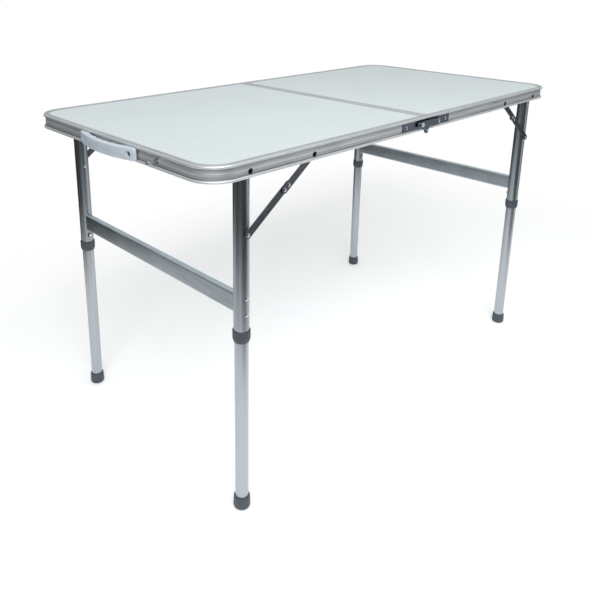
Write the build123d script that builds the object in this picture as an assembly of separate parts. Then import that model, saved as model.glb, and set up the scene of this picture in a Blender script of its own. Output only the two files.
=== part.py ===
from build123d import *
import math
import os

# Fold-in-half camping table, millimetres.
# X runs along the table, Y across it, Z up; the origin is on the floor under the
# middle of the seam.  Side -1 is the left half (handle end), side +1 the right half.
# Row -1 is the front long side, row +1 the back long side.
# A depth d is measured inwards from the outermost face of the edge trim.

# Overall sizes
table_length = 1200.0
table_width = 600.0
table_height = 700.0
corner_radius = 55.0
seam_gap = 1.5

# Edge trim extrusion
trim_height = 30.0
lip_depth = 4.0
top_lip = 6.0
bottom_lip = 5.0
trim_wall = 1.4
flange_width = 13.0
flange_thickness = 1.2
ledge_width = 5.0
ledge_thickness = 1.2
lip_round = 2.2
groove_depth = 0.4
flange_grooves = (4.2, 6.6, 9.0)
wall_grooves = (11.5, 18.5)

# Panel and seam strip
panel_thickness = 3.0
panel_clearance = 0.2
seam_flange = 12.0
seam_wall = 1.2
seam_depth = 11.0

# Leg frames
leg_inset = 89.0
pivot_clearance = 0.8
upper_tube_d = 28.6
tube_wall = 1.1
slide_gap = 0.3
collar_bottom = 360.0
collar_height = 23.0
collar_wall = 1.6
collar_seat = 6.0
collar_band = 9.0
collar_band_step = 0.5
collar_edge = 1.0
lower_tube_top = 420.0
crossbar_height = 38.0
crossbar_thickness = 13.0
crossbar_wall = 1.2
crossbar_radius = 3.0
crossbar_drop = 249.0
crossbar_rivet_spacing = 31.0
button_height = 400.0
button_r = 3.6
button_proud = 4.5
foot_wall = 3.4
foot_height = 27.0
foot_floor = 4.0
foot_edge = 5.0
foot_waist = 15.0
foot_draft = 1.2

# Elbow braces
brace_inset = 244.0
brace_drop = 19.5
brace_leg_drop = 114.0
link_width = 14.0
link_thickness = 2.0
link_gap = 0.3
rivet_room = 1.5
stop_reach = 12.0
stop_lug = 7.0
stop_lug_rise = 2.0
leg_fold_deg = 89.0

# Fasteners
shank_r = 3.0
head_r = 5.0
head_height = 1.9
small_shank_r = 2.3
small_head_r = 3.8
small_head_height = 1.2
rim_share = 0.3
running_fit = 0.05
screw_head_room = 1.0

# Hinge and its lock
hinge_drop = 1.5
leaf_length = 88.0
leaf_thickness = 1.6
leaf_clearance = 0.25
leaf_corner = 2.0
knuckle_r = 6.5
ear_shoulder_deg = 53.0
hinge_pin_r = 2.5
knuckle_notch = 22.0
joggle_length = 16.0
hinge_rivet_inset = 14.0
lock_stud_x = 25.0
lock_stud_r = 3.5
lock_stud_head_r = 5.0
lock_stud_proud = 5.5
lock_pivot_x = 42.0
lock_tail = 9.0
lock_height = 12.0
lock_rise = 1.0
lock_corner = 5.5
lock_nose = 9.0
lock_play = 1.3
lock_seat = 0.2
lock_side_gap = 0.6
lock_spacer_r = 5.0

# Carrying handle and closing catch
handle_length = 186.0
handle_lap = 2.0
handle_pad = 26.0
handle_pad_thickness = 6.0
handle_bulge = 21.0
handle_grip = 9.0
finger_bumps = 4
finger_bump_r = 16.0
finger_bump_rise = 2.2
handle_y = -6.0
catch_y = -157.0
catch_stud_r = 2.6
catch_stud_head_r = 4.6
catch_stud_length = 15.0
catch_stud_crown = 3.8
catch_standoff = 7.0
catch_hook_width = 13.0
catch_hook_thickness = 1.6
catch_slot_clearance = 0.3

# Values worked out from the sizes above
half_length = table_length / 2
half_width = table_width / 2
wall_inner = lip_depth + trim_wall
trim_bottom = table_height - trim_height
brace_z = table_height - brace_drop
mid_z = table_height - (top_lip + trim_height - bottom_lip) / 2
panel_top = table_height - flange_thickness
panel_bottom = panel_top - panel_thickness
tube_r = upper_tube_d / 2
pivot_z = panel_bottom - tube_r - pivot_clearance
bore_r = tube_r - tube_wall
lower_r = bore_r - slide_gap
collar_r = tube_r + collar_wall
link_d = wall_inner + rivet_room
lower_link_d = link_d + link_thickness + link_gap
leg_d = lower_link_d + link_thickness + small_head_height + link_gap
leg_y = half_width - leg_d - tube_r
leg_x = half_length - leg_inset
brace_x = half_length - brace_inset
brace_span = leg_x - brace_x
brace_leg_z = pivot_z - brace_leg_drop
hinge_z = trim_bottom - hinge_drop
crossbar_z = pivot_z - crossbar_drop
leaf_d = lip_depth - leaf_thickness
leaf_height = trim_height - top_lip - bottom_lip - 2 * leaf_clearance
ear_d = leaf_d - leaf_clearance - leaf_thickness
lever_d = -lock_side_gap - leaf_thickness
handle_height = trim_height - top_lip - bottom_lip + 2 * handle_lap
screw_y = handle_length / 2 - handle_pad / 2
catch_hook_length = 2 * (mid_z - hinge_z)

SIDES = (("left", -1), ("right", 1))
ROWS = (("front", -1), ("back", 1))


def save(shape, node):
    """Write one node; a list becomes a group of separate solids."""
    if isinstance(shape, list):
        shape = Compound(children=[solid for item in shape for solid in item.solids()])
    shape.label = node
    export_step(shape, f"parts/{node}.step")


def slab(sketch, row, d_outer, d_inner):
    """Carry an (x, z) outline through the depths from d_outer to d_inner on one long side."""
    y_low, y_high = sorted((row * (half_width - d_outer), row * (half_width - d_inner)))
    return Pos(0, y_high, 0) * extrude(Plane.XZ * sketch, amount=y_high - y_low)


def drill(shape, x, z, row, radius):
    """Cut a round hole across everything near one long side."""
    return shape - slab(Pos(x, z) * Circle(radius), row, -trim_height, trim_height)


def rod(radius, x_start, x_end):
    """Round bar along X."""
    return Pos((x_start + x_end) / 2, 0, 0) * Rot(0, 90, 0) * Cylinder(radius, x_end - x_start)


def dome(radius, rise):
    """Button head on z = 0: a short rim under a spherical cap."""
    rim = rise * rim_share
    cap = rise - rim
    ball_r = (radius**2 + cap**2) / (2 * cap)
    ball = Pos(0, 0, rise - ball_r) * Sphere(ball_r)
    return ball & Pos(0, 0, rise / 2) * Cylinder(radius, rise)


def rivet(shank, head, rise, length):
    """Domed rivet on the Z axis: its head stands on z = 0 and its shank runs down from there."""
    return Pos(0, 0, -length / 2) * Cylinder(shank, length) + dome(head, rise)


def side_rivet(x, z, row, d_seat, length, shank=shank_r, head=head_r, rise=head_height):
    """Rivet across a long side, its head seated at depth d_seat and pointing outwards."""
    turned = Rot(-90 * row, 0, 0) * rivet(shank, head, rise, length)
    return Pos(x, row * (half_width - d_seat), z) * turned


def small_side_rivet(x, z, row, d_seat, length, rise=small_head_height):
    """Side rivet of the smaller size."""
    return side_rivet(x, z, row, d_seat, length, small_shank_r, small_head_r, rise)


# Edge trim, panel and seam strip

def trim_profile():
    """Section of the edge trim as (depth, height over the table top) corners, its noses still square."""
    points = [(0, 0)]
    for depth in flange_grooves:
        points += [(depth - groove_depth, 0), (depth, -groove_depth), (depth + groove_depth, 0)]
    points += [(flange_width, 0), (flange_width, -flange_thickness), (wall_inner, -flange_thickness)]
    ledge_top = flange_thickness + panel_thickness
    ledge_low = ledge_top + ledge_thickness
    ledge_end = wall_inner + ledge_width
    points += [(wall_inner, -ledge_top), (ledge_end, -ledge_top), (ledge_end, -ledge_low)]
    lip_top = trim_height - bottom_lip
    points += [(wall_inner, -ledge_low), (wall_inner, -trim_height), (0, -trim_height)]
    points += [(0, -lip_top), (lip_depth, -lip_top)]
    for drop in reversed(wall_grooves):
        points += [(lip_depth, -drop - groove_depth), (lip_depth + groove_depth, -drop)]
        points += [(lip_depth, groove_depth - drop)]
    return points + [(lip_depth, -top_lip), (0, -top_lip)]


def trim_path():
    """Line of the trim's outer face round three sides of the right half."""
    start = seam_gap / 2
    bend_x = half_length - corner_radius
    bend_y = half_width - corner_radius
    path = Line((start, -half_width), (bend_x, -half_width))
    path += RadiusArc((bend_x, -half_width), (half_length, -bend_y), -corner_radius)
    path += Line((half_length, -bend_y), (half_length, bend_y))
    path += RadiusArc((half_length, bend_y), (bend_x, half_width), -corner_radius)
    return path + Line((bend_x, half_width), (start, half_width))


def end_holes(side):
    """Places and radii of the holes in a half's end wall."""
    if side > 0:
        return [(catch_y, catch_stud_r)]
    screws = [(handle_y + offset, small_shank_r) for offset in (-screw_y, screw_y)]
    return screws + [(catch_y, catch_stud_r)]


def edge_trim(side):
    """One extrusion bent round three sides of a half, drilled for what it carries."""
    section_plane = Plane((seam_gap / 2, -half_width, 0), x_dir=(0, 1, 0), z_dir=(1, 0, 0))
    corners = [(depth, table_height + height) for depth, height in trim_profile()]
    section = make_face(Polyline(*corners, close=True))
    section = fillet(section.vertices().group_by(Axis.X)[0], lip_round)
    trim = sweep(section_plane * section, trim_path())
    notch = Pos(0, trim_bottom) * Rectangle(2 * knuckle_notch, 2 * (bottom_lip + leaf_clearance))
    for _, row in ROWS:
        trim = drill(trim, leg_x, pivot_z, row, shank_r + running_fit)
        trim = drill(trim, brace_x, brace_z, row, shank_r + running_fit)
        trim = drill(trim, leaf_length - hinge_rivet_inset, mid_z, row, small_shank_r + running_fit)
        trim -= slab(notch, row, -lip_depth, lip_depth)
    for y, radius in end_holes(side):
        bore = rod(radius + running_fit, half_length - corner_radius, half_length + corner_radius)
        trim -= Pos(0, y, mid_z) * bore
    return trim if side > 0 else mirror(trim, Plane.YZ)


def seam_strip(side):
    """C-shaped strip that closes the panel's edge along the seam."""
    inner = seam_gap / 2
    web = inner + seam_wall
    flange = inner + seam_flange
    corners = [(inner, table_height), (flange, table_height), (flange, panel_top), (web, panel_top)]
    corners += [(web, panel_bottom), (flange, panel_bottom), (flange, panel_bottom - seam_wall)]
    corners += [(web, panel_bottom - seam_wall), (web, table_height - seam_depth)]
    corners += [(inner, table_height - seam_depth)]
    reach = half_width - max(flange_width, wall_inner + ledge_width) - panel_clearance
    strip = extrude(Plane.XZ * make_face(Polyline(*corners, close=True)), amount=reach, both=True)
    return strip if side > 0 else mirror(strip, Plane.YZ)


def panel_layer(margin, seam_margin, thickness):
    """Sheet of one half, set in by a margin from the trim's face and by another from the seam."""
    inner = seam_gap / 2 + seam_margin
    length = half_length - margin - inner
    sheet = Pos(inner + length / 2, 0) * Rectangle(length, table_width - 2 * margin)
    outer_corners = sheet.vertices().sort_by(Axis.X)[-2:]
    sheet = fillet(outer_corners, corner_radius - margin)
    return Pos(0, 0, panel_bottom) * extrude(sheet, amount=thickness)


def panel(side):
    """Laminate panel: its open field, with a tongue slid into the trim and the seam strip."""
    tongue = panel_thickness - panel_clearance
    board = panel_layer(wall_inner + panel_clearance, seam_wall + panel_clearance, tongue)
    board += panel_layer(flange_width + panel_clearance, seam_flange + panel_clearance, panel_thickness)
    return board if side > 0 else mirror(board, Plane.YZ)


# Leg frames

def at_leg(shape, side, row):
    """Move a piece from the Z axis to one leg's axis."""
    return Pos(side * leg_x, row * leg_y, 0) * shape


def pipe(outer_r, z_low, z_high):
    """Round tube on the Z axis."""
    tall = z_high - z_low
    return Pos(0, 0, (z_low + z_high) / 2) * (Cylinder(outer_r, tall) - Cylinder(outer_r - tube_wall, tall))


def crossbar_rivet_heights():
    """Heights of the rivets that hold the crossbar to a leg."""
    return [crossbar_z - crossbar_rivet_spacing / 2, crossbar_z + crossbar_rivet_spacing / 2]


def upper_tube(side, row):
    """Upper leg tube with a rounded pivot end and holes for its rivets and button."""
    low = collar_bottom + collar_seat
    round_end = Pos(0, 0, pivot_z) * Rot(90, 0, 0) * Cylinder(tube_r, upper_tube_d)
    square_end = Pos(0, 0, (low + pivot_z) / 2) * Box(upper_tube_d, upper_tube_d, pivot_z - low)
    body = pipe(tube_r, low, pivot_z + tube_r) & (round_end + square_end)
    holes = [(pivot_z, row, shank_r), (brace_leg_z, row, small_shank_r), (button_height, -row, button_r)]
    holes += [(z, row, small_shank_r) for z in crossbar_rivet_heights()]
    for z, facing, radius in holes:
        body -= Pos(0, facing * tube_r, z) * Rot(90, 0, 0) * Cylinder(radius + running_fit, tube_r)
    return at_leg(body, side, row)


def crossbar(side):
    """Flat box tube whose ends are coped to fit round the leg tubes."""
    section = RectangleRounded(crossbar_thickness, crossbar_height, crossbar_radius)
    bore = RectangleRounded(
        crossbar_thickness - 2 * crossbar_wall,
        crossbar_height - 2 * crossbar_wall,
        crossbar_radius - crossbar_wall,
    )
    bar = extrude(Plane.XZ * (section - bore), amount=leg_y, both=True)
    for _, row in ROWS:
        bar -= Pos(0, row * leg_y, 0) * Cylinder(tube_r + running_fit, 2 * crossbar_height)
    return Pos(side * leg_x, 0, crossbar_z) * bar


def collar(side, row):
    """Moulded collar: seats the upper tube's end and guides the lower tube."""
    slide_r = lower_r + running_fit
    seat_r = tube_r + running_fit
    band_r = collar_r + collar_band_step
    outline = [(slide_r, 0), (band_r - collar_edge, 0), (band_r, collar_edge), (band_r, collar_band)]
    outline += [(collar_r, collar_band + collar_edge), (collar_r, collar_height - collar_edge)]
    outline += [(collar_r - collar_edge, collar_height), (seat_r, collar_height)]
    outline += [(seat_r, collar_seat), (slide_r, collar_seat)]
    ring = revolve(make_face(Plane.XZ * Polyline(*outline, close=True)), Axis.Z)
    return at_leg(Pos(0, 0, collar_bottom) * ring, side, row)


def lower_tube(side, row):
    """Sliding lower leg with the hole its button snaps into."""
    hole = Rot(90, 0, 0) * Cylinder(button_r + slide_gap, lower_r)
    body = pipe(lower_r, foot_floor, lower_tube_top) - Pos(0, -row * lower_r, button_height) * hole
    return at_leg(body, side, row)


def foot(side, row):
    """Moulded foot cap with a rounded tread and a socket for the lower tube."""
    socket = lower_r + running_fit
    radius = socket + foot_wall
    tread = radius - foot_edge
    rim = radius - foot_draft
    outline = Line((0, 0), (tread, 0)) + RadiusArc((tread, 0), (radius, foot_edge), -foot_edge)
    corners = [(radius, foot_edge), (radius, foot_waist), (rim, foot_height), (socket, foot_height)]
    corners += [(socket, foot_floor), (0, foot_floor), (0, 0)]
    outline += Polyline(*corners)
    return at_leg(revolve(make_face(Plane.XZ * outline), Axis.Z), side, row)


def spring_button(side, row):
    """Domed release button that stands in the upper tube's hole on the inner side."""
    crown = button_proud / 2
    stem = tube_wall + crown
    body = Pos(0, 0, -stem / 2) * Cylinder(button_r, stem) + dome(button_r, crown)
    turned = Rot(90 * row, 0, 0) * body
    return at_leg(Pos(0, -row * (bore_r + stem), button_height) * turned, side, row)


# Elbow braces

def brace_lengths():
    """Lengths of the upper and lower links: in line when open, folded back flat when closed."""
    open_length = math.hypot(brace_span, brace_z - brace_leg_z)
    fold = math.radians(leg_fold_deg)
    folded_x = brace_span - brace_leg_drop * math.sin(fold)
    folded_z = pivot_z - brace_leg_drop * math.cos(fold) - brace_z
    closed_length = math.hypot(folded_x, folded_z)
    return (open_length - closed_length) / 2, (open_length + closed_length) / 2


def brace_angle():
    """Slope of the open brace, from the trim pivot down to the leg pivot."""
    return math.degrees(math.atan2(brace_z - brace_leg_z, brace_span))


def elbow_reaches():
    """Distances of the elbow rivet and the stop pin from the upper link's pivot."""
    elbow = brace_lengths()[0]
    return elbow, elbow + stop_reach


def link_outline(length, width=link_width):
    """Flat round-ended link along +X from its pivot."""
    return Pos(length / 2, 0) * SlotCenterToCenter(length, width)


def place_link(outline, side, x, z, angle):
    """Turn a link outline about its pivot and set it on its side of the table."""
    placed = Pos(x, z) * Rot(0, 0, angle) * outline
    return placed if side > 0 else mirror(placed, Plane.YZ)


def upper_link(side, row):
    """Link from the trim past the elbow, where an overhang carries the stop pin."""
    outline = link_outline(elbow_reaches()[-1]) - Circle(shank_r + running_fit)
    for reach in elbow_reaches():
        outline -= Pos(reach, 0) * Circle(small_shank_r + running_fit)
    placed = place_link(outline, side, brace_x, brace_z, -brace_angle())
    return slab(placed, row, link_d, link_d + link_thickness)


def lower_link(side, row):
    """Link from the leg to the elbow, with the lug that stops it in line."""
    length = brace_lengths()[1]
    outline = link_outline(length) - Circle(small_shank_r + running_fit)
    lug_x = length + link_width / 2 - stop_lug_rise
    outline += Pos(lug_x, link_width / 2) * Rectangle(stop_lug, 2 * stop_lug_rise)
    placed = place_link(outline, side, leg_x, brace_leg_z, 180 - brace_angle())
    return slab(placed, row, lower_link_d, lower_link_d + link_thickness)


def elbow_rivets(side, row):
    """Elbow rivet and stop pin, headed on the upper link's outer face."""
    angle = math.radians(brace_angle())
    made = []
    for reach in elbow_reaches():
        x = side * (brace_x + reach * math.cos(angle))
        z = brace_z - reach * math.sin(angle)
        made.append(small_side_rivet(x, z, row, link_d, link_thickness))
    return made


# Hinge and lock

def hinge_ear():
    """Outline of a knuckle under the trim with the neck that joins it to its leaf."""
    shoulder = math.radians(ear_shoulder_deg)
    corners = [(-knuckle_r * math.cos(shoulder), hinge_z + knuckle_r * math.sin(shoulder))]
    corners += [(knuckle_r, hinge_z), (joggle_length, mid_z - leaf_height / 2), (joggle_length, mid_z)]
    corners += [(seam_gap / 2, mid_z), (seam_gap / 2, trim_bottom + bottom_lip)]
    ear = Pos(0, hinge_z) * Circle(knuckle_r) + make_face(Polyline(*corners, close=True))
    return ear - Pos(0, hinge_z) * Circle(hinge_pin_r + running_fit)


def hinge_leaf(side, row):
    """Hinge leaf in the trim recess; the left leaf's ear is joggled out over the right one's."""
    start = seam_gap / 2
    reach = leaf_length - start
    plate = Pos(start + reach / 2, mid_z) * RectangleRounded(reach, leaf_height, leaf_corner)
    if side > 0:
        leaf = slab(plate + hinge_ear(), row, leaf_d, lip_depth)
    else:
        web = Pos(joggle_length - leaf_thickness / 2, mid_z) * Rectangle(leaf_thickness, leaf_height)
        leaf = slab(mirror(plate, Plane.YZ), row, leaf_d, lip_depth)
        leaf += slab(mirror(hinge_ear(), Plane.YZ), row, ear_d, ear_d + leaf_thickness)
        leaf += slab(mirror(web, Plane.YZ), row, ear_d, lip_depth)
    boss_x = lock_pivot_x if side > 0 else -lock_stud_x
    for x in (side * (leaf_length - hinge_rivet_inset), boss_x):
        leaf = drill(leaf, x, mid_z, row, small_shank_r + running_fit)
    return leaf


def hinge_pin(row):
    """Pin through both knuckles of one hinge."""
    return slab(Pos(0, hinge_z) * Circle(hinge_pin_r), row, ear_d - head_height, lip_depth)


def lock_stud(row):
    """Headed stud on the left leaf that the lock lever drops over."""
    stud = slab(Circle(small_shank_r), row, leaf_d, lip_depth)
    stud += slab(Circle(lock_stud_r), row, -lock_stud_proud, leaf_d)
    stud += slab(Circle(lock_stud_head_r), row, -lock_stud_proud, head_height - lock_stud_proud)
    return Pos(-lock_stud_x, 0, mid_z) * stud


def lock_lever(row):
    """Lever that swings on the right leaf and hooks down over the stud."""
    slot_left = -lock_stud_x - lock_stud_r - lock_play
    slot_right = -lock_stud_x + lock_stud_r + lock_seat
    left = slot_left - lock_nose
    right = lock_pivot_x + lock_tail
    bar = RectangleRounded(right - left, lock_height, lock_corner)
    slot_top = lock_stud_r + lock_seat
    slot = Rectangle(slot_right - slot_left, lock_height + slot_top)
    outline = Pos((left + right) / 2, lock_rise) * bar
    outline -= Pos((slot_left + slot_right) / 2, (slot_top - lock_height) / 2) * slot
    outline -= Pos(lock_pivot_x, 0) * Circle(small_shank_r + running_fit)
    return Pos(0, 0, mid_z) * slab(outline, row, lever_d, -lock_side_gap)


def lock_pivot(row):
    """Shouldered rivet that carries the lock lever clear of the trim's lips."""
    spacer = slab(Pos(lock_pivot_x, mid_z) * Circle(lock_spacer_r), row, -lock_side_gap, leaf_d)
    length = lip_depth - lever_d
    return spacer + side_rivet(lock_pivot_x, mid_z, row, lever_d, length, shank=small_shank_r)


# Handle and closing catch

def handle_plan():
    """Plan of the handle as a bow over a finger gap, with bumps between the fingers."""
    half = handle_length / 2
    inner_half = half - handle_pad
    gap_depth = handle_bulge - handle_grip
    pad = handle_pad_thickness
    outer = Line((0, -half), (pad, -half)) + ThreePointArc((pad, -half), (handle_bulge, 0), (pad, half))
    outer += Polyline((pad, half), (0, half), (0, -half))
    gap = ThreePointArc((0, -inner_half), (gap_depth, 0), (0, inner_half))
    gap += Line((0, inner_half), (0, -inner_half))
    bow = make_face(outer)
    plan = bow - make_face(gap)
    pitch = 2 * inner_half / (finger_bumps + 2)
    for index in range(finger_bumps):
        y = (index - (finger_bumps - 1) / 2) * pitch
        depth = gap_depth * (1 - (y / inner_half) ** 2)
        bump = Pos(depth + finger_bump_r - finger_bump_rise, y) * Circle(finger_bump_r)
        plan += bump & bow & (Pos(depth, y) * Rectangle(4 * finger_bump_rise, pitch))
    return plan


def handle():
    """Moulded bow handle with a recessed screw hole in each end pad."""
    grip = extrude(handle_plan(), amount=handle_height / 2, both=True)
    for y in (-screw_y, screw_y):
        grip -= Pos(0, y, 0) * rod(small_shank_r + running_fit, -handle_bulge, handle_bulge)
        recess = rod(small_head_r + screw_head_room, handle_pad_thickness, 2 * handle_bulge)
        grip -= Pos(0, y, 0) * recess
    return mirror(Pos(half_length, handle_y, mid_z) * grip, Plane.YZ)


def handle_screws():
    """Pan-head screws through the handle's pads into the trim wall."""
    length = handle_pad_thickness + wall_inner
    turned = Rot(0, -90, 0) * rivet(small_shank_r, small_head_r, head_height, length)
    head_x = -half_length - handle_pad_thickness
    return [Pos(head_x, handle_y + offset, mid_z) * turned for offset in (-screw_y, screw_y)]


def closing_stud():
    """Knobbed stud on the handle end that the closing hook catches."""
    tip = half_length + catch_stud_length
    seat = half_length - lip_depth
    stud = rod(catch_stud_r, half_length - wall_inner, tip)
    stud += rod(catch_stud_head_r, seat, seat + head_height)
    stud += Pos(tip, 0, 0) * Rot(0, 90, 0) * dome(catch_stud_head_r, catch_stud_crown)
    return mirror(Pos(0, catch_y, mid_z) * stud, Plane.YZ)


def closing_hook():
    """Flat hook hanging on the right end; with the table shut it reaches the stud."""
    mouth_r = catch_stud_r + catch_slot_clearance
    arm = Rot(0, 0, -90) * link_outline(catch_hook_length, catch_hook_width)
    mouth = Circle(mouth_r) + Pos(catch_hook_width / 2, 0) * Rectangle(catch_hook_width, 2 * mouth_r)
    outline = arm - Pos(0, -catch_hook_length) * mouth - Circle(catch_stud_r + running_fit)
    plate = extrude(Plane.YZ * outline, amount=catch_hook_thickness)
    return Pos(half_length + catch_standoff, catch_y, mid_z) * plate


def closing_hook_rivet():
    """Shouldered rivet that carries the closing hook on the right end wall."""
    seat = half_length + catch_standoff
    face = seat + catch_hook_thickness
    pin = rod(catch_stud_head_r, half_length - lip_depth, seat)
    pin += rod(catch_stud_r, half_length - wall_inner, face)
    pin += Pos(face, 0, 0) * Rot(0, 90, 0) * dome(catch_stud_head_r, head_height)
    return Pos(0, catch_y, mid_z) * pin


# Build every node

def build_half(name, side):
    """Write the panel, trim, seam strip, hinge leaves and rivets of one half."""
    save(panel(side), f"{name}_panel")
    save(edge_trim(side), f"{name}_edge_trim")
    save(seam_strip(side), f"{name}_seam_strip")
    leg_reach = leg_d + tube_wall - lip_depth
    link_reach = link_d + link_thickness - lip_depth
    leaf_reach = wall_inner - leaf_d
    leaf_rivet_x = side * (leaf_length - hinge_rivet_inset)
    pivots = []
    hinge_rivets = []
    for row_name, row in ROWS:
        save(hinge_leaf(side, row), f"{row_name}_{name}_hinge_leaf")
        pivots.append(side_rivet(side * leg_x, pivot_z, row, lip_depth, leg_reach))
        pivots.append(side_rivet(side * brace_x, brace_z, row, lip_depth, link_reach))
        hinge_rivets.append(small_side_rivet(leaf_rivet_x, mid_z, row, leaf_d, leaf_reach, head_height))
    save(pivots, f"{name}_pivot_rivets")
    save(hinge_rivets, f"{name}_hinge_rivets")


def build_leg_frame(name, side):
    """Write the legs, crossbar, braces and fittings under one half."""
    brace_reach = leg_d + tube_wall - lower_link_d
    crossbar_rivets = []
    brace_rivets = []
    collars = []
    for row_name, row in ROWS:
        leg = f"{row_name}_{name}"
        save(upper_tube(side, row), f"{leg}_upper_tube")
        save(lower_tube(side, row), f"{leg}_lower_tube")
        save(foot(side, row), f"{leg}_foot")
        save(spring_button(side, row), f"{leg}_spring_button")
        save(upper_link(side, row), f"{leg}_brace_upper_link")
        save(lower_link(side, row), f"{leg}_brace_lower_link")
        save(elbow_rivets(side, row), f"{leg}_elbow_rivets")
        collars.append(collar(side, row))
        for z in crossbar_rivet_heights():
            crossbar_rivets.append(small_side_rivet(side * leg_x, z, row, leg_d, tube_wall))
        brace_rivets.append(small_side_rivet(side * leg_x, brace_leg_z, row, lower_link_d, brace_reach))
    save(crossbar(side), f"{name}_crossbar")
    save(collars, f"{name}_collars")
    save(crossbar_rivets, f"{name}_crossbar_rivets")
    save(brace_rivets, f"{name}_brace_leg_rivets")


def build_fittings():
    """Write the hinge pins, locks, handle and closing catch."""
    save([hinge_pin(row) for _, row in ROWS], "hinge_pins")
    save([lock_stud(row) for _, row in ROWS], "lock_studs")
    save([lock_pivot(row) for _, row in ROWS], "lock_pivots")
    for row_name, row in ROWS:
        save(lock_lever(row), f"{row_name}_lock_lever")
    save(handle(), "carry_handle")
    save(handle_screws(), "handle_screws")
    save(closing_stud(), "closing_stud")
    save(closing_hook(), "closing_hook")
    save(closing_hook_rivet(), "closing_hook_rivet")


os.makedirs("parts", exist_ok=True)
for side_name, side_sign in SIDES:
    build_half(side_name, side_sign)
    build_leg_frame(side_name, side_sign)
build_fittings()
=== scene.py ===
"""Finishes, added surfaces and stage for the fold-in-half camping table."""

import math

import bpy
import numpy as np
from mathutils import Matrix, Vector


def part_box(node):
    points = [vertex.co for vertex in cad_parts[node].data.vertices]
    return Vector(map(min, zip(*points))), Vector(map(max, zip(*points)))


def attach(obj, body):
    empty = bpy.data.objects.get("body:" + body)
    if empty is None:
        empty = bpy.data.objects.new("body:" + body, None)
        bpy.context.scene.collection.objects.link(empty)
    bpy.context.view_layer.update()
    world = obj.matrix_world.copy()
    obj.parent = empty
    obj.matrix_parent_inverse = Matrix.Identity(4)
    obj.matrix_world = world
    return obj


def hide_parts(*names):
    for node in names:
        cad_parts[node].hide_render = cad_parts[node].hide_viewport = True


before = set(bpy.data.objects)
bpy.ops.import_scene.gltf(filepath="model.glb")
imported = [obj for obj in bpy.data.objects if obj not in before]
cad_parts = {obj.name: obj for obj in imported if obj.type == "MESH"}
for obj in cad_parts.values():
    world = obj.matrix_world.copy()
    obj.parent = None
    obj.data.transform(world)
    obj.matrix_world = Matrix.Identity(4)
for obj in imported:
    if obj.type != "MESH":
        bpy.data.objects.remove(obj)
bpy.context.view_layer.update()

bl_info = {
    "name": "Folding camping table",
    "version": (1, 0, 0),
    "blender": (4, 5, 0),
    "location": "3D View > Sidebar > Camping table",
    "description": "Gives a fold-in-half camping table its finishes, moulded surfaces and stage",
    "category": "Object",
}

# Halves of the table with the sign of x on them, its long sides, and the half that carries each leg
SIDES = {"left": -1.0, "right": 1.0}
ROWS = ("front", "back")
LEGS = {f"{row}_{side}": side for row in ROWS for side in SIDES}

# Range of most values of a noise texture
NOISE_LOW, NOISE_HIGH = 0.3, 0.7

# Metres between a tube and what runs round it, and from a tube's face to the foot of what sits on it
TUBE_FIT, SUNK = 0.00005, 0.0004


# Finishes

def colour_mix(tree):
    """Mix node for colours: its factor, its two colours and its result."""
    made = tree.nodes.new("ShaderNodeMix")
    made.data_type = "RGBA"
    return made.inputs[0], made.inputs[6], made.inputs[7], made.outputs[2]


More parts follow.
